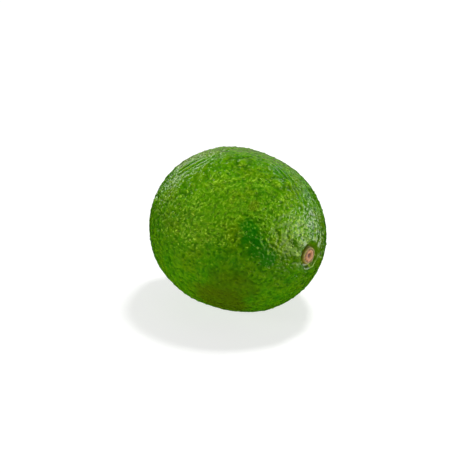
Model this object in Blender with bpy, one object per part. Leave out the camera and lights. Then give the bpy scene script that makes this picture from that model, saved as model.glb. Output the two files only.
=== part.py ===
"""Key lime: one whole fruit, as picked, lying on its side with the stub of its stalk in the stem end.

Lengths are in metres. The fruit's core runs along X, with the stem end at +X and the nipple at -X.
Z is up, and the origin is the middle of the small flat spot that the fruit rests on.
"""

import math
import random

import bmesh
import bpy
from mathutils import Matrix, Vector, kdtree, noise

MM = 0.001

# Driving dimensions of the whole fruit.
DIAMETER = 41.0 * MM  # across the widest girth
LENGTH = 47.5 * MM  # from the stem end to the tip of the nipple
SPOT_SAG = 0.45 * MM  # how far the resting side is pressed flat

# The body of the fruit, as shares of its radius.
EGG = 0.016  # narrower towards the stem
SHOULDER = 0.016  # fuller than an ellipse halfway to each end
OVAL = 0.0075  # two-sided and three-sided unroundness of the girth
TRIANGLE = 0.009
OVAL_TURN = math.radians(127)
TRIANGLE_TURN = math.radians(9)
WAVE_HEIGHT = 0.30 * MM  # soft hollows and swellings of the skin
WAVE_LENGTH = 9.0 * MM
WAVE_START = Vector((3.1, 7.7, 1.9))

# The nipple at the far end from the stalk: a broad low swelling with a blunt tip on it.
SWELLING_HEIGHT = 0.65 * MM
SWELLING_RADIUS = 6.0 * MM
TIP_HEIGHT = 0.55 * MM
TIP_RADIUS = 2.3 * MM

# The stem end: a low collar, with short furrows running out of it, round a flat-floored basin.
COLLAR_HEIGHT = 0.40 * MM
COLLAR_RADIUS = 4.3 * MM
COLLAR_WIDTH = 2.1 * MM
BASIN_DEPTH = 0.75 * MM
BASIN_FLOOR_RADIUS = 2.45 * MM
BASIN_RIM_RADIUS = 3.5 * MM
FURROWS = 9
FURROW_DEPTH = 0.16 * MM
FURROW_RADIUS = 5.8 * MM
FURROW_SPREAD = 2.4 * MM
FURROW_WANDER = 1.6  # how unevenly they are spread round the core

# Shallow dimples all over the skin, each as wide as a few oil glands.
DIMPLE_SPACING = 2.7 * MM
DIMPLE_RADIUS = 1.45 * MM
DIMPLE_DEPTH = 0.15 * MM
DIMPLE_JITTER = 0.30  # share of the spacing
DIMPLE_SEED = 7
DIMPLE_FADE = 2.0 * MM  # they fade in over this distance from the basin's rim

# The stalk's stub on its worn calyx, as a low button in the basin.
BUTTON_GAP = 0.3 * MM  # clear of the basin's floor
BUTTON_PROFILE_MM = (  # radius and height of the button's outline, from its underside to its pith
    (0.00, 0.00),
    (1.60, 0.00),
    (1.98, 0.10),
    (2.12, 0.28),
    (2.02, 0.46),
    (1.74, 0.56),
    (1.42, 0.62),
    (1.12, 0.66),
    (0.84, 0.62),
    (0.58, 0.50),
    (0.30, 0.40),
    (0.00, 0.38),
)
BUTTON_STEPS = 40
CALYX_LOBES = 5
LOBE_DEPTH = 0.07  # share of the radius between two lobes
LOBE_START = 0.9 * MM  # the lobes show from this radius outwards
LOBE_WANDER = 1.4  # how unevenly they are spread round the core
WOOD_ROUGHNESS = 0.13 * MM  # how uneven the broken wood is
WOOD_GRAIN = 0.75 * MM

# How finely the skin is faceted.
SPHERE_CUTS = 22  # cuts of each edge of the icosahedron
STEM_FINE_ANGLE = math.radians(15)  # the facets are half as wide within this angle of the stem end
STEM_FINEST_ANGLE = math.radians(10.5)  # and a quarter as wide within this one
PLANE_SNAP = 0.12 * MM  # points this near the resting plane go onto it
WELD = 0.01 * MM
SHARP_ANGLE = math.radians(40)

SKIN_COLOUR = (0.075, 0.21, 0.008)
SKIN_SHEEN_ROUGHNESS = 0.32
STEM_COLOUR = (0.36, 0.19, 0.08)
STEM_SHEEN_ROUGHNESS = 0.75

RADIUS = DIAMETER / 2
HALF_LENGTH = (LENGTH - SWELLING_HEIGHT - TIP_HEIGHT) / 2
GOLDEN_ANGLE = math.pi * (3 - math.sqrt(5))


def clear_scene():
    for obj in list(bpy.data.objects):
        bpy.data.objects.remove(obj, do_unlink=True)


def smoothstep(low, high, value):
    share = min(1.0, max(0.0, (value - low) / (high - low)))
    return share * share * (3 - 2 * share)


def bell(value, middle, width):
    """A bell curve, 1 at the middle."""
    return math.exp(-(((value - middle) / width) ** 2))


def unevenness(around, kind):
    """A smooth random number from -1 to 1 for each direction round the core, and for each kind."""
    return noise.noise(Vector((math.cos(around), math.sin(around), kind)))


def body_point(direction):
    """The fruit's plain body, without its ends, in this direction from its middle."""
    side = direction.x
    ring = math.sqrt(max(0.0, 1 - side * side))
    around = math.atan2(direction.y, direction.z)
    share = ring * (1 - EGG * side) * (1 + SHOULDER * (2 * side * ring) ** 2)
    share *= 1 + OVAL * math.cos(2 * (around - OVAL_TURN)) * ring
    share *= 1 + TRIANGLE * math.cos(3 * (around - TRIANGLE_TURN)) * ring
    point = Vector(
        (
            HALF_LENGTH * side,
            RADIUS * share * math.sin(around),
            RADIUS * share * math.cos(around),
        )
    )
    wave = noise.noise(point / WAVE_LENGTH + WAVE_START)
    return point + direction * (WAVE_HEIGHT * wave * ring)


def stem_end(point, around, from_core):
    """How far along X the skin lies at the stem end."""
    collar = COLLAR_HEIGHT * bell(from_core, COLLAR_RADIUS, COLLAR_WIDTH)
    furrow = FURROW_DEPTH * bell(from_core, FURROW_RADIUS, FURROW_SPREAD)
    furrow *= math.cos(FURROWS * around + FURROW_WANDER * unevenness(around, 0.5))
    skin = point.x + collar + furrow
    floor = HALF_LENGTH - BASIN_DEPTH
    in_basin = 1 - smoothstep(BASIN_FLOOR_RADIUS, BASIN_RIM_RADIUS, from_core)
    return skin + (floor - skin) * in_basin


def nipple_end(point, from_core):
    """How far along X the skin lies at the nipple."""
    swelling = SWELLING_HEIGHT * bell(from_core, 0, SWELLING_RADIUS)
    tip = TIP_HEIGHT * bell(from_core, 0, TIP_RADIUS)
    return point.x - swelling - tip


def smooth_point(direction):
    """The skin without its dimples, in this direction from the middle of the fruit."""
    point = body_point(direction)
    from_core = math.hypot(point.y, point.z)
    around = math.atan2(point.y, point.z)
    if direction.x > 0:
        point.x = stem_end(point, around, from_core)
    else:
        point.x = nipple_end(point, from_core)
    return point


def outward(direction):
    """The outward normal of the ellipsoid that the fruit is close to."""
    normal = Vector((direction.x / HALF_LENGTH, direction.y / RADIUS, direction.z / RADIUS))
    return normal.normalized()


def dimple_spots():
    """Points spread evenly over the skin on a spiral, each moved a little at random."""
    area = 4 * math.pi * RADIUS * (2 * HALF_LENGTH + RADIUS) / 3
    count = round(area / (math.sqrt(0.75) * DIMPLE_SPACING**2))
    draw = random.Random(DIMPLE_SEED)
    nudge = DIMPLE_JITTER * DIMPLE_SPACING / RADIUS
    spots = kdtree.KDTree(count)
    for index in range(count):
        side = 1 - 2 * (index + 0.5) / count
        ring = math.sqrt(1 - side * side)
        turn = index * GOLDEN_ANGLE
        direction = Vector((side, ring * math.cos(turn), ring * math.sin(turn)))
        direction += Vector([draw.uniform(-nudge, nudge) for _ in range(3)])
        spots.insert(smooth_point(direction.normalized()), index)
    spots.balance()
    return spots


def dimple_depth(point, spots):
    """How deep the nearest dimple is here. The stem end's basin has none."""
    _, _, distance = spots.find(point)
    share = min(1.0, distance / DIMPLE_RADIUS)
    depth = DIMPLE_DEPTH * (1 - share * share) ** 2
    if point.x > 0:
        from_core = math.hypot(point.y, point.z)
        depth *= smoothstep(BASIN_RIM_RADIUS, BASIN_RIM_RADIUS + DIMPLE_FADE, from_core)
    return depth


def facet_sphere():
    """A unit sphere of even triangles, finer round the stem end."""
    mesh = bmesh.new()
    turn = Matrix.Rotation(math.pi / 2, 4, "Y")
    bmesh.ops.create_icosphere(mesh, subdivisions=1, radius=1, matrix=turn)
    bmesh.ops.subdivide_edges(mesh, edges=mesh.edges[:], cuts=SPHERE_CUTS, use_grid_fill=True)
    for vert in mesh.verts:
        vert.co.normalize()
    for angle in (STEM_FINE_ANGLE, STEM_FINEST_ANGLE):
        near = [
            edge
            for edge in mesh.edges
            if all(vert.co.x > math.cos(angle) for vert in edge.verts)
        ]
        bmesh.ops.subdivide_edges(mesh, edges=near, cuts=1, use_grid_fill=True)
        bmesh.ops.triangulate(mesh, faces=mesh.faces[:])
        for vert in mesh.verts:
            vert.co.normalize()
    return mesh


def press_flat(mesh):
    """Cuts the resting side off level, closes it, and puts the flat spot's middle at the origin."""
    low = min(vert.co.z for vert in mesh.verts) + SPOT_SAG
    bmesh.ops.bisect_plane(
        mesh,
        geom=mesh.verts[:] + mesh.edges[:] + mesh.faces[:],
        dist=PLANE_SNAP,
        plane_co=(0, 0, low),
        plane_no=(0, 0, -1),
        use_snap_center=True,
        clear_outer=True,
    )
    rim = [edge for edge in mesh.edges if edge.is_boundary]
    spot = bmesh.ops.holes_fill(mesh, edges=rim, sides=0)["faces"][0]
    middle = spot.calc_center_median()
    bmesh.ops.translate(mesh, verts=mesh.verts[:], vec=-middle)
    bmesh.ops.recalc_face_normals(mesh, faces=mesh.faces[:])
    return middle


def make_material(name, colour, roughness):
    material = bpy.data.materials.new(name)
    material.use_nodes = True
    shader = material.node_tree.nodes["Principled BSDF"]
    shader.inputs["Base Color"].default_value = (*colour, 1)
    shader.inputs["Roughness"].default_value = roughness
    shader.inputs["Metallic"].default_value = 0
    return material


def make_object(name, mesh, collection, material):
    data = bpy.data.meshes.new(name)
    mesh.to_mesh(data)
    mesh.free()
    data.materials.append(material)
    obj = bpy.data.objects.new(name, data)
    collection.objects.link(obj)
    return obj


def make_fruit(collection):
    """The fruit in one piece. Returns it with the place of its flat spot from its middle."""
    mesh = facet_sphere()
    spots = dimple_spots()
    for vert in mesh.verts:
        point = smooth_point(vert.co)
        vert.co = point - outward(vert.co) * dimple_depth(point, spots)
    middle = press_flat(mesh)
    skin = make_material("lime_skin", SKIN_COLOUR, SKIN_SHEEN_ROUGHNESS)
    fruit = make_object("fruit", mesh, collection, skin)
    fruit.data.shade_smooth()
    fruit.data.set_sharp_from_angle(angle=SHARP_ANGLE)
    return fruit, middle


def make_stem_button(collection, spot):
    """The calyx with the broken stub of the stalk, turned about the core and then made uneven."""
    mesh = bmesh.new()
    outline = [
        mesh.verts.new((height * MM, 0, radius * MM)) for radius, height in BUTTON_PROFILE_MM
    ]
    for first, second in zip(outline, outline[1:]):
        mesh.edges.new((first, second))
    bmesh.ops.spin(
        mesh,
        geom=mesh.verts[:] + mesh.edges[:],
        cent=(0, 0, 0),
        axis=(1, 0, 0),
        angle=math.tau,
        steps=BUTTON_STEPS,
        use_merge=True,
    )
    bmesh.ops.remove_doubles(mesh, verts=mesh.verts[:], dist=WELD)
    outer = max(radius for radius, _ in BUTTON_PROFILE_MM) * MM
    pith = BUTTON_PROFILE_MM[-1][1] * MM
    for vert in mesh.verts:
        from_core = math.hypot(vert.co.y, vert.co.z)
        around = math.atan2(vert.co.y, vert.co.z)
        if vert.co.x >= pith:
            vert.co.x += WOOD_ROUGHNESS * noise.noise(vert.co / WOOD_GRAIN)
        lobe = math.cos(CALYX_LOBES * around + LOBE_WANDER * unevenness(around, 2.5))
        notch = LOBE_DEPTH * (0.5 - 0.5 * lobe) * smoothstep(LOBE_START, outer, from_core)
        vert.co.y *= 1 - notch
        vert.co.z *= 1 - notch
    bmesh.ops.recalc_face_normals(mesh, faces=mesh.faces[:])
    wood = make_material("stem_wood", STEM_COLOUR, STEM_SHEEN_ROUGHNESS)
    button = make_object("stem_button", mesh, collection, wood)
    button.location = Vector((HALF_LENGTH - BASIN_DEPTH + BUTTON_GAP, 0, 0)) - spot
    button.data.shade_smooth()
    return button


def main():
    clear_scene()
    collection = bpy.data.collections.new("key_lime")
    bpy.context.scene.collection.children.link(collection)
    _, spot = make_fruit(collection)
    make_stem_button(collection, spot)


main()
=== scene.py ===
# %% [markdown]
# # A key lime
# The fruit is a small citrus, picked whole, with a glossy green rind full of oil glands. At one end
# is a low nipple, and at the other a woody button where the stalk broke off. This lesson makes the
# rind and the button as fine meshes round a plain solid model, gives them their finish with shader
# nodes, and lights them like a product photo.

# %% Load the frame
import math
import random

import bmesh
import bpy
from mathutils import Matrix, Vector, kdtree, noise


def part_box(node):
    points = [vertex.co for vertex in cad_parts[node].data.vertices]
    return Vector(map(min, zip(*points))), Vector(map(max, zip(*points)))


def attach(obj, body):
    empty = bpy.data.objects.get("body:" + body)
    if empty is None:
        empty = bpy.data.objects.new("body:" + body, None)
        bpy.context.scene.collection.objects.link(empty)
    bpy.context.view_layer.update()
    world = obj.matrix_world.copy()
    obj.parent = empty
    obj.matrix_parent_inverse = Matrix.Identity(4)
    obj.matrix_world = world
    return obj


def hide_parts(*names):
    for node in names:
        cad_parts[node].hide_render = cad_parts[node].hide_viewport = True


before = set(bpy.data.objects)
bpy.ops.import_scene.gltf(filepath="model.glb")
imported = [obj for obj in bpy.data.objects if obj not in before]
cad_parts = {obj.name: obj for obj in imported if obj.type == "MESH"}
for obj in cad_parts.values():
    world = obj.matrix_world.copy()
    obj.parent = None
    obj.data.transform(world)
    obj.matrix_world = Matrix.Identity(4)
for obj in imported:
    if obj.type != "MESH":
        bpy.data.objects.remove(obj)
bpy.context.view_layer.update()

MM = 0.001
FRUIT_LOW, FRUIT_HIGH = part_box("fruit")
FRUIT_SIZE = FRUIT_HIGH - FRUIT_LOW
print("The solid fruit measures", [round(side / MM, 1) for side in FRUIT_SIZE], "mm")

# %% [markdown]
# ## The form of the rind
# A lime is close to an ellipsoid, but an exact one looks like plastic. The real fruit is a little
# egg-shaped, a little unround, and has soft swellings, so each of these is a small term in one
# formula that takes a direction from the middle of the fruit and gives a point of the rind. The
# same formula made the solid, and here it is only sampled more finely.

# %% Driving dimensions
DIAMETER = 41.0 * MM  # across the widest girth
LENGTH = 47.5 * MM  # from the stem end to the tip of the nipple
SPOT_SAG = 0.45 * MM  # how far the resting side is pressed flat
SWELLING_HEIGHT = 0.65 * MM  # the nipple is a swelling
TIP_HEIGHT = 0.55 * MM  # with a blunt tip on it
RADIUS = DIAMETER / 2
HALF_LENGTH = (LENGTH - SWELLING_HEIGHT - TIP_HEIGHT) / 2


def smoothstep(low, high, value):
    share = min(1.0, max(0.0, (value - low) / (high - low)))
    return share * share * (3 - 2 * share)


def bell(value, middle, width):
    """A bell curve, 1 at the middle."""
    return math.exp(-(((value - middle) / width) ** 2))


# %% The plain body
EGG = 0.016  # narrower towards the stem, as a share of the radius
SHOULDER = 0.016  # fuller than an ellipse halfway to each end
OVAL = 0.0075  # two-sided and three-sided unroundness of the girth
TRIANGLE = 0.009
OVAL_TURN = math.radians(127)
TRIANGLE_TURN = math.radians(9)
WAVE_HEIGHT = 0.30 * MM  # soft hollows and swellings
WAVE_LENGTH = 9.0 * MM
WAVE_START = Vector((3.1, 7.7, 1.9))


def body_point(direction):
    """The fruit's body without its ends, in this direction from its middle."""
    side = direction.x
    ring = math.sqrt(max(0.0, 1 - side * side))
    around = math.atan2(direction.y, direction.z)
    share = ring * (1 - EGG * side) * (1 + SHOULDER * (2 * side * ring) ** 2)
    share *= 1 + OVAL * math.cos(2 * (around - OVAL_TURN)) * ring
    share *= 1 + TRIANGLE * math.cos(3 * (around - TRIANGLE_TURN)) * ring
    across = RADIUS * share
    point = Vector((HALF_LENGTH * side, across * math.sin(around), across * math.cos(around)))
    wave = noise.noise(point / WAVE_LENGTH + WAVE_START)
    return point + direction * (WAVE_HEIGHT * wave * ring)


# %% The stem end and the nipple
COLLAR_HEIGHT = 0.40 * MM  # a low collar round the basin of the stem end
COLLAR_RADIUS = 4.3 * MM
COLLAR_WIDTH = 2.1 * MM
BASIN_DEPTH = 0.75 * MM
BASIN_FLOOR_RADIUS = 2.45 * MM
BASIN_RIM_RADIUS = 3.5 * MM
FURROWS = 9  # short furrows that run out of the basin
FURROW_DEPTH = 0.16 * MM
FURROW_RADIUS = 5.8 * MM
FURROW_SPREAD = 2.4 * MM
FURROW_WANDER = 1.6  # how far they stray from an even spacing, in radians of their wave
FURROW_PATTERN = 0.5  # picks one of the smooth random patterns below
SWELLING_RADIUS = 6.0 * MM
TIP_RADIUS = 2.3 * MM


def unevenness(around, pattern):
    """A smooth random number from -1 to 1 for each direction round the core, in this pattern."""
    return noise.noise(Vector((math.cos(around), math.sin(around), pattern)))


def stem_end(point, around, from_core):
    """How far along X the rind lies at the stem end."""
    collar = COLLAR_HEIGHT * bell(from_core, COLLAR_RADIUS, COLLAR_WIDTH)
    furrow = FURROW_DEPTH * bell(from_core, FURROW_RADIUS, FURROW_SPREAD)
    furrow *= math.cos(FURROWS * around + FURROW_WANDER * unevenness(around, FURROW_PATTERN))
    skin = point.x + collar + furrow
    floor = HALF_LENGTH - BASIN_DEPTH
    in_basin = 1 - smoothstep(BASIN_FLOOR_RADIUS, BASIN_RIM_RADIUS, from_core)
    return skin + (floor - skin) * in_basin


def nipple_end(point, from_core):
    """How far along X the rind lies at the nipple."""
    swelling = SWELLING_HEIGHT * bell(from_core, 0, SWELLING_RADIUS)
    tip = TIP_HEIGHT * bell(from_core, 0, TIP_RADIUS)
    return point.x - swelling - tip


def smooth_point(direction):
    """The rind without its dimples and glands, in this direction from the middle of the fruit."""
    point = body_point(direction)
    from_core = math.hypot(point.y, point.z)
    if direction.x > 0:
        point.x = stem_end(point, math.atan2(point.y, point.z), from_core)
    else:
        point.x = nipple_end(point, from_core)
    return point


def outward(direction):
    """The outward normal of the ellipsoid that the fruit is close to."""
    normal = Vector((direction.x / HALF_LENGTH, direction.y / RADIUS, direction.z / RADIUS))
    return normal.normalized()


print("The girth is", round(2 * body_point(Vector((0, 0, 1))).z / MM, 1), "mm high")

# %% [markdown]
# ## Dimples and oil glands
# What makes a rind look like citrus is its thousands of oil glands, about a millimetre apart and
# never in rows. A spiral that turns by the golden angle spreads points evenly over a ball, and a
# small random nudge breaks up its pattern. A KD-tree then finds the nearest gland to any point of
# the rind. The same function spreads the wider, shallower dimples of the solid.

# %% Points spread over the rind
GOLDEN_ANGLE = math.pi * (3 - math.sqrt(5))
SKIN_AREA = 4 * math.pi * RADIUS * (2 * HALF_LENGTH + RADIUS) / 3


def spread_spots(spacing, jitter, seed):
    """Points this far apart on the rind, each nudged by up to this share of it."""
    count = round(SKIN_AREA / (math.sqrt(0.75) * spacing**2))
    draw = random.Random(seed)
    nudge = jitter * spacing / RADIUS
    spots = []
    for index in range(count):
        side = 1 - 2 * (index + 0.5) / count
        ring = math.sqrt(1 - side * side)
        turn = index * GOLDEN_ANGLE
        direction = Vector((side, ring * math.cos(turn), ring * math.sin(turn)))
        direction += Vector([draw.uniform(-nudge, nudge) for _ in range(3)])
        spots.append(smooth_point(direction.normalized()))
    return spots


def finder(spots):
    """A KD-tree that finds the nearest of these points."""
    tree = kdtree.KDTree(len(spots))
    for index, spot in enumerate(spots):
        tree.insert(spot, index)
    tree.balance()
    return tree


def dome(distance, radius):
    """The profile of a round bump or pit: 1 at its middle, and 0 from its radius outwards."""
    share = min(1.0, distance / radius)
    return (1 - share * share) ** 2


def ringed_dome(distance, radius):
    """The same with a shallow ring of the opposite sign round it."""
    share = min(1.0, distance / radius)
    return dome(distance, radius) * (1 - RING * share * share)


# %% Spread the dimples and the glands
DIMPLE_SPACING = 2.7 * MM
DIMPLE_RADIUS = 1.45 * MM
DIMPLE_DEPTH = 0.05 * MM  # the solid's are deeper, to show on its wide facets
DIMPLE_JITTER = 0.30
DIMPLE_SEED = 7
GLAND_SPACING = 1.20 * MM
GLAND_RADIUS = 0.65 * MM
GLAND_JITTER = 0.34
GLAND_SEED = 3
DEEPEST_GLAND = -0.19 * MM  # some glands are pits, and some stand up
HIGHEST_GLAND = 0.18 * MM
RING = 2.6  # how deep the ring round each is, against its own height
SPOT_FADE = 1.3 * MM  # dimples and glands fade in over this distance from the basin's rim

dimples = finder(spread_spots(DIMPLE_SPACING, DIMPLE_JITTER, DIMPLE_SEED))
gland_spots = spread_spots(GLAND_SPACING, GLAND_JITTER, GLAND_SEED)
glands = finder(gland_spots)
gland_draw = random.Random(GLAND_SEED)
gland_heights = [gland_draw.uniform(DEEPEST_GLAND, HIGHEST_GLAND) for _ in gland_spots]
print(len(gland_spots), "glands on", round(SKIN_AREA / MM**2), "square mm of rind")

# %% [markdown]
# ## Warts and folds
# A real rind also has marks that no even pattern gives. A few warts stand up from it, smooth and
# paler than the rest, which is partly their colour and partly painted highlight, with painted shade
# in the ring round each. Where the fruit swelled faster than its skin, folds run side by side. The
# ones that can be seen on the real fruit are placed one by one, as directions from its middle, and
# a seeded random draw adds some warts elsewhere.

# %% Warts
WART_DIRECTIONS = (
    Vector((0.164, -0.119, 0.979)),
    Vector((0.584, -0.037, 0.811)),
)
STRAY_WARTS = 6  # this many more are scattered over the rest of the rind
WART_SEED = 5
WART_RADIUS = 1.8 * MM
WART_HEIGHT = 0.38 * MM
WART_MOAT = 0.09 * MM  # each stands in a ring this deep
MOAT_WIDTH = WART_RADIUS / 3

wart_draw = random.Random(WART_SEED)
wart_spots = [smooth_point(direction.normalized()) for direction in WART_DIRECTIONS]
for _ in range(STRAY_WARTS):
    stray = Vector([wart_draw.gauss(0, 1) for _ in range(3)])
    wart_spots.append(smooth_point(stray.normalized()))
warts = finder(wart_spots)
print(len(wart_spots), "warts")

# %% Folds
FOLD_PATHS = (  # where each group of folds starts and ends, and its height
    (Vector((-0.436, -0.514, 0.739)), Vector((-0.261, -0.270, 0.925)), 0.20 * MM),
    (Vector((0.330, 0.200, 0.920)), Vector((0.800, 0.120, 0.580)), 0.11 * MM),
)
FOLD_SPACING = 1.5 * MM
FOLD_SPREAD = 2.0 * MM  # how far to either side of their middle they fade out
FOLD_WANDER = 3.5  # how far they stray from straight lines, in radians of their wave
FOLD_WANDER_LENGTH = 2.5 * MM
FOLD_SMOOTHNESS = 0.7  # the share of the glands' height that is lost between them


def folds_here(direction):
    """How strongly the folds take over from the glands, from 0 to 1, and how high they are."""
    strongest = 0.0
    height = 0.0
    wander = FOLD_WANDER * noise.noise(direction * RADIUS / FOLD_WANDER_LENGTH)
    for start, end, highest in FOLD_PATHS:
        halfway = (start + end).normalized()
        if direction.dot(halfway) > 0:
            sideways = start.cross(end).normalized()
            across = direction.dot(sideways) * RADIUS
            along = direction.dot(sideways.cross(halfway)) * RADIUS
            share = bell(across, 0, FOLD_SPREAD) * bell(along, 0, (end - start).length * RADIUS / 2)
            height += highest * share * math.cos(math.tau * across / FOLD_SPACING + wander)
            strongest = max(strongest, share)
    return strongest, height


# %% [markdown]
# ## The rind's mesh
# A UV sphere crowds its faces at the poles, just where the stem end and the nipple are. An
# icosahedron whose edges are cut evenly keeps every triangle nearly the same size, a quarter of a
# millimetre here, so each gland is made of real geometry. Every point is then moved to its place by
# the formula. How high it stands, and whether it is on a wart, is stored with it as an attribute,
# so that the material can colour the crests and the pits, partly with painted highlight and painted
# shade.

# %% A ball of even triangles
COARSE_CUTS = 13  # cuts of each edge of the icosahedron, and then of each edge made by them
FINE_CUTS = 6


def even_ball():
    """A ball of radius 1 made of triangles of nearly the same size."""
    mesh = bmesh.new()
    turned = Matrix.Rotation(math.pi / 2, 4, "Y")  # with two of its corners on the core
    bmesh.ops.create_icosphere(mesh, subdivisions=1, radius=1, matrix=turned)
    for cuts in (COARSE_CUTS, FINE_CUTS):
        bmesh.ops.subdivide_edges(mesh, edges=mesh.edges[:], cuts=cuts, use_grid_fill=True)
        for vert in mesh.verts:
            vert.co.normalize()
    return mesh


# %% Shape the rind
GRAIN_HEIGHT = 0.12 * MM  # uneven lumps, which run together between the glands
GRAIN_LENGTH = 1.05 * MM
CREASE_HEIGHT = 0.11 * MM  # and finer ones on them
CREASE_LENGTH = 0.55 * MM
GRAIN_START = Vector((11.0, 2.0, 5.0))
FULL_RELIEF = 0.10 * MM  # the height that the material takes as fully raised


def shape_rind(mesh):
    """Moves the ball's points onto the rind, and stores their relief and warts as attributes."""
    relief = mesh.verts.layers.float.new("relief")
    wart = mesh.verts.layers.float.new("wart")
    for vert in mesh.verts:
        direction = vert.co.copy()
        point = smooth_point(direction)
        _, _, to_dimple = dimples.find(point)
        _, index, to_gland = glands.find(point)
        _, _, to_wart = warts.find(point)
        open_skin = 1.0
        if direction.x > 0:
            from_core = math.hypot(point.y, point.z)
            open_skin = smoothstep(BASIN_RIM_RADIUS, BASIN_RIM_RADIUS + SPOT_FADE, from_core)
        raised = dome(to_wart, WART_RADIUS)
        moat = bell(to_wart, WART_RADIUS, MOAT_WIDTH)
        fine = GRAIN_HEIGHT * noise.noise(point / GRAIN_LENGTH + GRAIN_START)
        fine += CREASE_HEIGHT * noise.noise(point / CREASE_LENGTH - GRAIN_START)
        fine += gland_heights[index] * ringed_dome(to_gland, GLAND_RADIUS)
        folded, fold = folds_here(direction)
        fine *= (1 - raised) * (1 - FOLD_SMOOTHNESS * folded) * open_skin
        broad = WART_HEIGHT * raised - WART_MOAT * moat
        broad += fold - DIMPLE_DEPTH * dome(to_dimple, DIMPLE_RADIUS)
        vert[relief] = (fine + fold) / FULL_RELIEF
        vert[wart] = (raised - moat) * open_skin
        vert.co = point + outward(direction) * (fine + broad * open_skin)


rind_mesh = even_ball()
shape_rind(rind_mesh)
print("The rind has", len(rind_mesh.faces), "triangles")

# %% [markdown]
# ## Resting on the table
# A fruit's weight presses a small spot of its rind flat. Points below the level of that spot are
# lifted to it. The rind is then fitted into the solid's box, so that it stands exactly where the
# solid stands, and the same step gives the place of the core, which the button needs.

# %% Press the spot and fit the rind to the frame
lowest = min(vert.co.z for vert in rind_mesh.verts) + SPOT_SAG
for vert in rind_mesh.verts:
    vert.co.z = max(vert.co.z, lowest)

rind_low = Vector([min(vert.co[axis] for vert in rind_mesh.verts) for axis in range(3)])
rind_high = Vector([max(vert.co[axis] for vert in rind_mesh.verts) for axis in range(3)])
FIT = Vector([FRUIT_SIZE[axis] / (rind_high - rind_low)[axis] for axis in range(3)])


def to_frame(point):
    """A point of the fruit, measured from its middle, in the frame."""
    return Vector([FRUIT_LOW[axis] + (point[axis] - rind_low[axis]) * FIT[axis] for axis in range(3)])


for vert in rind_mesh.verts:
    vert.co = to_frame(vert.co)
CORE = to_frame(Vector((0, 0, 0)))
print("The rind was scaled by", [round(share, 4) for share in FIT])


def finish_piece(name, mesh, material, node):
    """Makes the mesh an object that stands for a node of the frame, shaded smooth."""
    data = bpy.data.meshes.new(name)
    mesh.to_mesh(data)
    mesh.free()
    data.materials.append(material)
    data.shade_smooth()
    piece = bpy.data.objects.new(name, data)
    bpy.context.scene.collection.objects.link(piece)
    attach(piece, "root")
    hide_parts(node)
    print(name, "has", len(data.polygons), "faces")


# %% [markdown]
# ## Shader maths
# Node trees grow unreadable when each node is placed by hand. One small class wraps a node's output,
# so that Python's own operators add Math nodes, and one method adds any other node.

# %% A wrapped socket
class Wire:
    """One output of a shader node, which Python's operators work on."""

    def __init__(self, tree, output=None):
        self.tree = tree
        self.output = output

    def node(self, kind, settings, inputs, output=0):
        """Adds a node with these settings, and these values or links on its inputs."""
        made = self.tree.nodes.new(kind)
        for name, value in settings.items():
            if name == "stops":
                while len(made.color_ramp.elements) < len(value):
                    made.color_ramp.elements.new(1)
                for element, (place, colour) in zip(made.color_ramp.elements, value):
                    element.position = place
                    element.color = colour
            else:
                setattr(made, name, value)
        for name, value in inputs.items():
            if isinstance(value, Wire):
                self.tree.links.new(value.output, made.inputs[name])
            else:
                made.inputs[name].default_value = value
        return Wire(self.tree, made.outputs[output])

    def maths(self, operation, first, second):
        return self.node("ShaderNodeMath", {"operation": operation}, {0: first, 1: second})

    def __add__(self, other):
        return self.maths("ADD", self, other)

    def __radd__(self, other):
        return self.maths("ADD", other, self)

    def __sub__(self, other):
        return self.maths("SUBTRACT", self, other)

    def __rsub__(self, other):
        return self.maths("SUBTRACT", other, self)

    def __mul__(self, other):
        return self.maths("MULTIPLY", self, other)

    def __rmul__(self, other):
        return self.maths("MULTIPLY", other, self)

    def __truediv__(self, other):
        return self.maths("DIVIDE", self, other)

    def __pow__(self, other):
        return self.maths("POWER", self, other)


# %% Helpers for patterns and colours
def to_light(level):
    """The amount of light that one channel of a screen colour stands for, by the sRGB standard."""
    return ((level + 0.055) / 1.055) ** 2.4 if level > 0.04045 else level / 12.92


def paint(red, green, blue):
    """A colour given as it looks on screen, from 0 to 255, as a shader needs it."""
    return (*[to_light(value / 255) for value in (red, green, blue)], 1)


def new_material(name):
    """An empty material with a Principled shader. Returns it with its shader and a wire to add to."""
    material = bpy.data.materials.new(name)
    material.use_nodes = True
    return material, material.node_tree.nodes["Principled BSDF"], Wire(material.node_tree)


def cloudy(wire, place, size, detail=2.0, roughness=0.5):
    """Soft random patches of about this size in metres, from 0 to 1 with 0.5 in the middle."""
    inputs = {"Vector": place, "Scale": 1 / size, "Detail": detail, "Roughness": roughness}
    return wire.node("ShaderNodeTexNoise", {}, inputs)


def between(value, low, high, to_low=0.0, to_high=1.0):
    """A smooth step: to_low where the value is under low, and to_high where it is over high."""
    inputs = {"Value": value, "From Min": low, "From Max": high, "To Min": to_low, "To Max": to_high}
    return value.node("ShaderNodeMapRange", {"interpolation_type": "SMOOTHSTEP"}, inputs)


def fading(value, low, high):
    """The opposite: 1 where the value is under low, and 0 where it is over high."""
    return between(value, low, high, 1.0, 0.0)


def blend_colours(mask, first, second):
    """The first colour where the mask is 0, and the second where it is 1."""
    return mask.node("ShaderNodeMix", {"data_type": "RGBA"}, {0: mask, 6: first, 7: second}, 2)


def place_on_core(wire, place):
    """How far a point is from the core's line, in metres, and how far along it from the middle."""
    centred = wire.node("ShaderNodeMapping", {}, {"Vector": place, "Location": -CORE})
    parts = [wire.node("ShaderNodeSeparateXYZ", {}, {0: centred}, axis) for axis in range(3)]
    return (parts[1] * parts[1] + parts[2] * parts[2]) ** 0.5, parts[0]
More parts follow.
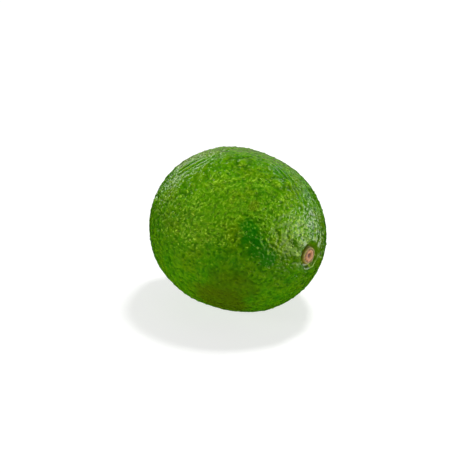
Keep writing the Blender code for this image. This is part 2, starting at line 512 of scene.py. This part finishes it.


# %% [markdown]
# ## The rind's finish
# The rind is a mid green, mottled on every scale: olive where it ripens and deep green where it was
# shaded. Its crests and fine glands are yellow-green and its pits and the gaps between glands dark,
# partly the glands' own colour and partly painted highlight and painted shade. A few ragged patches
# lie where the real fruit has them: an olive stain, painted shadow in deep green on its front, and on
# its underside a darker olive that is partly its colour and partly painted shade. Its wax gives a
# gloss that varies a little. All of it is worked out from the object's own coordinates and the
# mesh's attributes, so nothing slides when the view turns.

# %% Patterns of the rind
CELL_SIZE = 1.0 * MM  # the finish has its own fine glands between those of the mesh
BEND_SIZE = 0.7 * MM  # noise of this size pushes them out of round
BEND_REACH = 0.7 * MM


def gland_cells(wire, place):
    """How far a point is from the middle of the nearest fine gland, where the next is about 1 away."""
    noise_inputs = {"Vector": place, "Scale": 1 / BEND_SIZE, "Detail": 0.0}
    bend = wire.node("ShaderNodeTexNoise", {}, noise_inputs, "Color")
    bend = wire.node("ShaderNodeVectorMath", {"operation": "SUBTRACT"}, {0: bend, 1: (0.5, 0.5, 0.5)})
    bend = wire.node("ShaderNodeVectorMath", {"operation": "SCALE"}, {0: bend, "Scale": BEND_REACH})
    bent = wire.node("ShaderNodeVectorMath", {"operation": "ADD"}, {0: place, 1: bend})
    cells = {"Vector": bent, "Scale": 1 / CELL_SIZE}
    return wire.node("ShaderNodeTexVoronoi", {"feature": "F1"}, cells, "Distance")


PATCH_RAGS = 0.6  # the size of the rags of a patch's edge, as a share of its reach
PATCH_SWAY = 1.4  # how far they stray, in the same way
PATCH_INSIDE = 0.5  # it is full within this share of its reach
PATCH_OUTSIDE = 1.2  # and gone beyond this one


def ragged_patch(wire, place, direction, reach):
    """A patch with a ragged edge round a spot of the rind: 1 inside and 0 outside."""
    spot = to_frame(smooth_point(Vector(direction).normalized()))
    away = wire.node("ShaderNodeVectorMath", {"operation": "DISTANCE"}, {0: place, 1: spot}, "Value")
    rags = cloudy(wire, place, reach * PATCH_RAGS, detail=3.0, roughness=0.6) - 0.5
    ragged = away + rags * (reach * PATCH_SWAY)
    return fading(ragged, reach * PATCH_INSIDE, reach * PATCH_OUTSIDE)


# %% The rind's colours, stains and painted shade
RIPE_GREEN = paint(77, 146, 0)
OLIVE = paint(112, 140, 0)
# DARK_OLIVE is laid on the underside as partly the rind's olive colour and partly painted shade
DARK_OLIVE = paint(78, 98, 0)
# DEEP_GREEN is the rind's own shaded mottling, and also the painted shadow on its front
DEEP_GREEN = paint(22, 124, 2)
# PIT_GREEN and YELLOW_GREEN are the glands' own colours, and also serve as painted shade in pits, gaps
# and moats and as painted highlight on crests, gland middles and warts
PIT_GREEN = paint(36, 96, 0)
YELLOW_GREEN = paint(122, 178, 6)
STEM_YELLOW = paint(132, 148, 10)
SCAR_BROWN = paint(120, 96, 40)
# Ragged patches. The olive one is a stain of the rind. The deep green ones on the front are painted
# shadow. The dark olive ones on the underside are partly the rind's olive colour and partly painted
# shade.
STAINS_AND_SHADE = (  # colour, strength, direction from the middle of the fruit, and reach
    (OLIVE, 0.40, (0.589, -0.469, 0.658), 1.6 * MM),
    (DEEP_GREEN, 0.20, (0.500, -0.865, 0.044), 4.5 * MM),
    (DARK_OLIVE, 0.50, (0.536, -0.788, -0.302), 6.5 * MM),
    (DARK_OLIVE, 0.75, (0.340, -0.720, -0.604), 8.0 * MM),
    (DEEP_GREEN, 0.80, (0.642, -0.624, 0.446), 2.7 * MM),
    (DEEP_GREEN, 0.80, (0.692, -0.637, 0.340), 2.7 * MM),
    (DEEP_GREEN, 0.80, (0.757, -0.613, 0.225), 2.7 * MM),
    (DEEP_GREEN, 0.80, (0.837, -0.538, 0.100), 2.5 * MM),
)


# %% Rind material
MOTTLE_DETAIL = 4.0
MOTTLE_ROUGHNESS = 0.65
RIPE_SIZE = 6.5 * MM  # the mottling's patches, the noise at which they set in, and their strength
RIPE_RANGE = (0.44, 0.66)
RIPE_STRENGTH = 0.46
SHADE_SIZE = 4.5 * MM
SHADE_RANGE = (0.52, 0.70)
SHADE_STRENGTH = 0.55
# Crests are painted paler and pits darker: partly the glands' own colour, partly painted highlight and
# painted shade
CREST_RANGE = (0.05, 0.80)  # as shares of the full relief
CREST_STRENGTH = 0.38
PIT_RANGE = (-0.80, -0.05)
PIT_STRENGTH = 0.65
# The fine glands' raised middles are painted paler and the gaps between them darker: partly their own
# colour, partly painted highlight and painted shade
MIDDLE_RANGE = (0.15, 0.42)  # distances from a fine gland's middle, where the next is about 1 away
MIDDLE_STRENGTH = 0.20
GAP_RANGE = (0.55, 0.80)
GAP_STRENGTH = 0.38
WART_EDGE = (0.05, 0.40)  # the fine glands end here
# Warts are painted paler, partly their colour and partly painted highlight, and their moats darker,
# which is painted shade
WART_RANGE = (0.10, 0.90)
WART_STRENGTH = 0.40
MOAT_RANGE = (-0.80, -0.20)
MOAT_STRENGTH = 0.55
HALO_RANGE = (2.3 * MM, 3.1 * MM)  # the pale skin round the stem button ends here
HALO_STRENGTH = 0.55
SCAR_RANGE = (0.5 * MM, 1.1 * MM)  # and the dry spot on the nipple's tip here
LUMP_SIZE = 0.75 * MM
LUMP_SHARE = 0.5
BUMP_DEPTH = 0.085 * MM
GLOSS_SIZE = 2.2 * MM
GLOSS_RANGE = (0.30, 0.70)
SMOOTHEST = 0.12
ROUGHEST = 0.20
LEAFY_GLOSS = (0.82, 1.0, 0.30, 1)  # the sheens on a lime are never quite white


def make_rind_material():
    """Glossy, mottled skin with fine glands."""
    material, shader, wire = new_material("lime_rind")
    place = wire.node("ShaderNodeTexCoord", {}, {}, "Object")
    relief = wire.node("ShaderNodeAttribute", {"attribute_name": "relief"}, {}, "Fac")
    radius, along = place_on_core(wire, place)
    wart = wire.node("ShaderNodeAttribute", {"attribute_name": "wart"}, {}, "Fac")
    off_warts = fading(wart, *WART_EDGE)
    ripening = cloudy(wire, place, RIPE_SIZE, MOTTLE_DETAIL, MOTTLE_ROUGHNESS)
    shaded = cloudy(wire, place, SHADE_SIZE, MOTTLE_DETAIL, MOTTLE_ROUGHNESS)
    lumps = cloudy(wire, place, LUMP_SIZE, detail=1.0, roughness=0.5)
    cells = gland_cells(wire, place)
    middles = fading(cells, *MIDDLE_RANGE)
    gaps = between(cells, *GAP_RANGE)
    crests = between(relief, *CREST_RANGE)
    pits = fading(relief, *PIT_RANGE)
    colour = blend_colours(between(ripening, *RIPE_RANGE) * RIPE_STRENGTH, RIPE_GREEN, OLIVE)
    colour = blend_colours(between(shaded, *SHADE_RANGE) * SHADE_STRENGTH, colour, DEEP_GREEN)
    # painted highlight on the crests and painted shade in the pits, over the glands' own colour
    colour = blend_colours(crests * CREST_STRENGTH, colour, YELLOW_GREEN)
    colour = blend_colours(pits * PIT_STRENGTH, colour, PIT_GREEN)
    # painted shade in the gaps between the fine glands and painted highlight on their middles, over
    # their own colour
    colour = blend_colours(gaps * off_warts * GAP_STRENGTH, colour, PIT_GREEN)
    colour = blend_colours(middles * off_warts * MIDDLE_STRENGTH, colour, YELLOW_GREEN)
    # ragged patches: a stain, painted shadow in deep green and painted shade in dark olive
    for patch_colour, strength, direction, reach in STAINS_AND_SHADE:
        colour = blend_colours(ragged_patch(wire, place, direction, reach) * strength, colour, patch_colour)
    # warts paler, partly painted highlight, and painted shade in their moats
    colour = blend_colours(between(wart, *WART_RANGE) * WART_STRENGTH, colour, YELLOW_GREEN)
    colour = blend_colours(fading(wart, *MOAT_RANGE) * MOAT_STRENGTH, colour, PIT_GREEN)
    stem_side = between(along, 0, HALF_LENGTH / 2)
    halo = fading(radius, *HALO_RANGE) * stem_side
    colour = blend_colours(halo * HALO_STRENGTH, colour, STEM_YELLOW)
    scar = fading(radius, *SCAR_RANGE) * (1 - stem_side)
    colour = blend_colours(scar, colour, SCAR_BROWN)
    wire.tree.links.new(colour.output, shader.inputs["Base Color"])
    wax = cloudy(wire, place, GLOSS_SIZE, detail=3.0, roughness=0.6)
    gloss = between(wax, *GLOSS_RANGE, SMOOTHEST, ROUGHEST)
    wire.tree.links.new(gloss.output, shader.inputs["Roughness"])
    grain = (lumps * LUMP_SHARE + middles) * off_warts
    bump_inputs = {"Height": grain, "Strength": 1.0, "Distance": BUMP_DEPTH}
    bump = wire.node("ShaderNodeBump", {}, bump_inputs, "Normal")
    wire.tree.links.new(bump.output, shader.inputs["Normal"])
    shader.inputs["IOR"].default_value = 1.45
    shader.inputs["Specular IOR Level"].default_value = 0.5
    shader.inputs["Specular Tint"].default_value = LEAFY_GLOSS
    print("The rind's finish takes", len(material.node_tree.nodes), "shader nodes")
    return material


rind_material = make_rind_material()
finish_piece("rind", rind_mesh, rind_material, "fruit")

# %% [markdown]
# ## The stem button
# Where the stalk broke off, a worn calyx is left: a woody disc with an uneven rim, a raised ring of
# broken wood and a dark pith. It is a turned shape, so it starts as an outline that is spun round
# the core, and noise then takes away its roundness.

# %% Turn the button
BUTTON_LOW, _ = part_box("stem_button")
BUTTON_SINK = 0.06 * MM  # lower than the solid, which leaves room for the roughness of its wood
BUTTON_OUTLINE_MM = (  # radius and height, from the rim's foot to the pith
    (2.20, -0.45),
    (2.28, -0.05),
    (2.24, 0.22),
    (2.10, 0.42),
    (1.90, 0.52),
    (1.72, 0.50),
    (1.60, 0.46),
    (1.46, 0.54),
    (1.28, 0.64),
    (1.08, 0.68),
    (0.88, 0.64),
    (0.70, 0.54),
    (0.52, 0.40),
    (0.36, 0.30),
    (0.18, 0.27),
    (0.00, 0.26),
)
BUTTON_STEPS = 128
CALYX_LOBES = 5
LOBE_DEPTH = 0.07
LOBE_START = 0.9 * MM
LOBE_WANDER = 1.4
LOBE_PATTERN = 2.5
WOOD_LUMP = 0.75 * MM  # the wood's lumps and splinters, and how high each kind stands
WOOD_LUMP_HEIGHT = 0.11 * MM
SPLINTER = 0.25 * MM
SPLINTER_HEIGHT = 0.05 * MM
FOOT_HEIGHT = 0.1 * MM  # below this the button sits in the basin and stays plain
WELD_DISTANCE = 0.001 * MM


def make_button():
    """The button's mesh: an outline spun round the core, with lobes at its rim and rough wood."""
    mesh = bmesh.new()
    outline = [mesh.verts.new((height * MM, 0, radius * MM)) for radius, height in BUTTON_OUTLINE_MM]
    edges = [mesh.edges.new(pair) for pair in zip(outline, outline[1:])]
    bmesh.ops.subdivide_edges(mesh, edges=edges, cuts=2)
    bmesh.ops.spin(
        mesh,
        geom=mesh.verts[:] + mesh.edges[:],
        cent=(0, 0, 0),
        axis=(1, 0, 0),
        angle=math.tau,
        steps=BUTTON_STEPS,
        use_merge=True,
    )
    bmesh.ops.remove_doubles(mesh, verts=mesh.verts[:], dist=WELD_DISTANCE)
    outer = BUTTON_OUTLINE_MM[1][0] * MM
    for vert in mesh.verts:
        from_axis = math.hypot(vert.co.y, vert.co.z)
        around = math.atan2(vert.co.y, vert.co.z)
        lobe = math.cos(CALYX_LOBES * around + LOBE_WANDER * unevenness(around, LOBE_PATTERN))
        notch = LOBE_DEPTH * (0.5 - 0.5 * lobe) * smoothstep(LOBE_START, outer, from_axis)
        rough = WOOD_LUMP_HEIGHT * noise.noise(vert.co / WOOD_LUMP)
        rough += SPLINTER_HEIGHT * noise.noise(vert.co / SPLINTER)
        if vert.co.x > FOOT_HEIGHT:
            vert.co.x += rough
        vert.co.y *= 1 - notch
        vert.co.z *= 1 - notch
    rim = [edge for edge in mesh.edges if edge.is_boundary]
    bmesh.ops.holes_fill(mesh, edges=rim, sides=0)
    bmesh.ops.recalc_face_normals(mesh, faces=mesh.faces[:])
    bmesh.ops.translate(mesh, verts=mesh.verts[:], vec=(BUTTON_LOW.x - BUTTON_SINK, CORE.y, CORE.z))
    return mesh


# %% Stem material
WOOD_RINGS = (  # colours from the pith to the rim, placed by their share of the button's radius
    (0.00, paint(96, 50, 10)),
    (0.18, paint(126, 66, 14)),
    (0.32, paint(224, 158, 92)),
    (0.58, paint(230, 160, 98)),
    (0.70, paint(118, 92, 18)),
    (0.84, paint(186, 172, 40)),
    (1.00, paint(126, 132, 20)),
)
RINGS_RADIUS = 2.3 * MM
RING_WOBBLE = 0.7 * MM  # how far the rings stray from circles
WOBBLE_SIZE = 0.9 * MM
GRIME = paint(120, 72, 30)
GRIME_SIZE = 0.45 * MM
GRIME_RANGE = (0.42, 0.62)
GRIME_STRENGTH = 0.35
WOOD_GRAIN_SIZE = 0.16 * MM
WOOD_GRAIN_DEPTH = 0.08 * MM


def make_stem_material():
    """Dry, dull wood with rings of colour round the core."""
    material, shader, wire = new_material("stem_wood")
    place = wire.node("ShaderNodeTexCoord", {}, {}, "Object")
    radius, _ = place_on_core(wire, place)
    wobble = (cloudy(wire, place, WOBBLE_SIZE, detail=3.0, roughness=0.6) - 0.5) * RING_WOBBLE
    share = (radius + wobble) / RINGS_RADIUS
    rings = wire.node("ShaderNodeValToRGB", {"stops": WOOD_RINGS}, {"Fac": share})
    grime = cloudy(wire, place, GRIME_SIZE, detail=4.0, roughness=0.7)
    colour = blend_colours(between(grime, *GRIME_RANGE) * GRIME_STRENGTH, rings, GRIME)
    wire.tree.links.new(colour.output, shader.inputs["Base Color"])
    grain = cloudy(wire, place, WOOD_GRAIN_SIZE, detail=4.0, roughness=0.65)
    bump_inputs = {"Height": grain, "Strength": 0.6, "Distance": WOOD_GRAIN_DEPTH}
    bump = wire.node("ShaderNodeBump", {}, bump_inputs, "Normal")
    wire.tree.links.new(bump.output, shader.inputs["Normal"])
    shader.inputs["Roughness"].default_value = 0.7
    print("The wood's finish takes", len(material.node_tree.nodes), "shader nodes")
    return material


finish_piece("button", make_button(), make_stem_material(), "stem_button")

# %% [markdown]
# ## The view
# The camera stands where the photographer stood: well back with a long lens and looking down a
# little, with the stem end to the right and turned somewhat towards it.

# %% Camera
VIEW_AZIMUTH = math.radians(41.6)
VIEW_ELEVATION = math.radians(24)
VIEW_DISTANCE = 450 * MM
SENSOR_WIDTH = 36  # in millimetres, as the lens is
PICTURE_PIXELS = 473
PIXELS_PER_METRE = 4005
FRUIT_RIGHT_PIXELS = -0.5  # where the fruit's middle is in the picture, from the picture's middle
FRUIT_UP_PIXELS = 8.3

back = Vector(
    (
        math.sin(VIEW_AZIMUTH) * math.cos(VIEW_ELEVATION),
        -math.cos(VIEW_AZIMUTH) * math.cos(VIEW_ELEVATION),
        math.sin(VIEW_ELEVATION),
    )
)
right = Vector((math.cos(VIEW_AZIMUTH), math.sin(VIEW_AZIMUTH), 0))
up = back.cross(right)
middle = (FRUIT_LOW + FRUIT_HIGH) / 2
aim = middle - (right * FRUIT_RIGHT_PIXELS + up * FRUIT_UP_PIXELS) / PIXELS_PER_METRE
camera = bpy.data.objects.new("camera", bpy.data.cameras.new("camera"))
bpy.context.scene.collection.objects.link(camera)
camera.data.sensor_width = SENSOR_WIDTH
camera.data.lens = SENSOR_WIDTH * VIEW_DISTANCE * PIXELS_PER_METRE / PICTURE_PIXELS
camera.data.clip_start = 10 * MM
camera.location = aim + back * VIEW_DISTANCE
camera.rotation_euler = back.to_track_quat("Z", "Y").to_euler()
bpy.context.scene.camera = camera
print("The lens is", round(camera.data.lens), "mm")

# %% [markdown]
# ## Floor and light
# A product photo on white has soft lights at both sides and above. Each one shows in the rind as a
# sheen, which the glands break into dots and dashes. Here some lights show only in the gloss and
# the others only shade the rind, so that each sheen can be placed without changing the shading.
# The floor glows like a light table, which keeps the shadow pale. Neither the floor nor the world
# behind it is mirrored, because a rind that mirrors a white room looks milky.

# %% Floor
FLOOR_SIZE = 3  # half its side, in metres
FLOOR_GREY = (0.38, 0.38, 0.38, 1)
FLOOR_GLOW = 0.72


def make_floor():
    mesh = bmesh.new()
    bmesh.ops.create_grid(mesh, x_segments=1, y_segments=1, size=FLOOR_SIZE)
    data = bpy.data.meshes.new("floor")
    mesh.to_mesh(data)
    mesh.free()
    material, shader, _ = new_material("pale_floor")
    shader.inputs["Base Color"].default_value = FLOOR_GREY
    shader.inputs["Emission Color"].default_value = (1, 1, 1, 1)
    shader.inputs["Emission Strength"].default_value = FLOOR_GLOW
    shader.inputs["Roughness"].default_value = 0.9
    shader.inputs["Specular IOR Level"].default_value = 0.1
    data.materials.append(material)
    floor = bpy.data.objects.new("floor", data)
    bpy.context.scene.collection.objects.link(floor)
    floor.visible_glossy = False
    floor.visible_shadow = False


make_floor()

# %% Lights
LIGHT_DISTANCE = 0.60
WHITE = (1, 1, 1)
LEAF = (0.90, 1, 0.25)  # the weak sheens take on the rind's green
COOL = (1, 0.9, 1.3)  # the strong one at the right stays nearly white
SAND = (1.25, 0.9, 0.85)  # and the one along the top is sandy


def soft_light(name, sheen, side, size, power, gloss=True, shade=True, length=0, colour=WHITE):
    """A light that faces the fruit. Its sheen shows this share of the way from the middle of the
    fruit to its outline in the picture, on this side: 0 degrees is right and 90 is up. The light
    is square, or has this length along the outline."""
    off_sight = 2 * math.asin(sheen)
    across = right * math.cos(math.radians(side)) + up * math.sin(math.radians(side))
    along = up * math.cos(math.radians(side)) - right * math.sin(math.radians(side))
    towards = back * math.cos(off_sight) + across * math.sin(off_sight)
    data = bpy.data.lights.new(name, "AREA")
    data.shape = "RECTANGLE"
    data.size = length or size
    data.size_y = size
    data.energy = power
    data.color = colour
    light = bpy.data.objects.new(name, data)
    light.location = middle + towards * LIGHT_DISTANCE
    light.rotation_euler = Matrix((along, towards.cross(along), towards)).transposed().to_euler()
    light.visible_glossy = gloss
    light.visible_diffuse = shade
    bpy.context.scene.collection.objects.link(light)
    print(name, "is", round(math.degrees(math.asin(towards.z))), "degrees above the table")


soft_light("right_box", 0.77, 4, 0.30, 1.8, shade=False, colour=COOL)
soft_light("right_low_veil", 0.53, -6, 0.50, 2.6, shade=False, colour=COOL)
soft_light("right_veil", 0.64, 20, 0.50, 0.3, shade=False, colour=LEAF)
soft_light("right_back_strip", 0.88, 42, 0.05, 0.32, shade=False, length=0.45)
soft_light("left_box", 0.84, 156, 0.18, 0.24, shade=False, colour=LEAF)
soft_light("left_veil", 0.50, 180, 0.30, 0.45, shade=False, colour=LEAF)
soft_light("left_strip", 0.87, 128, 0.04, 0.38, shade=False, length=0.35)
soft_light("left_back_strip", 0.92, 126, 0.04, 0.25, shade=False, length=0.35)
soft_light("top_back_box", 0.94, 90, 0.50, 0.26, shade=False, colour=SAND)
LAMP_RINGS = ((0.30, 60, 0.70), (0.60, 36, 0.68))  # sheen, degrees from lamp to lamp, and power
LAMP_ARC = 180  # degrees, from the right over the top to the left
LAMP_SIZE = 0.10
LAMP_LENGTH = 0.22
for ring, (sheen, step, power) in enumerate(LAMP_RINGS):
    for side in range(0, LAMP_ARC + 1, step):
        lamp = f"lamp_{ring}_{side}"
        soft_light(lamp, sheen, side, LAMP_SIZE, power, shade=False, length=LAMP_LENGTH, colour=LEAF)
soft_light("main_key", 0.64, 76, 0.10, 3.0, gloss=False)
soft_light("front_fill", 0.30, 60, 0.50, 0.20, gloss=False)
soft_light("left_key", 0.62, 170, 0.14, 0.80, gloss=False)
soft_light("top_fill", 0.70, 90, 0.70, 0.6, gloss=False)

# %% World
WORLD_STRENGTH = 0.07  # only to lift the darkest shadows

world = bpy.data.worlds.new("studio")
world.use_nodes = True
world.node_tree.nodes["Background"].inputs["Color"].default_value = (1, 1, 1, 1)
world.node_tree.nodes["Background"].inputs["Strength"].default_value = WORLD_STRENGTH
world.cycles_visibility.glossy = False
bpy.context.scene.world = world
bpy.context.scene.view_settings.view_transform = "Standard"
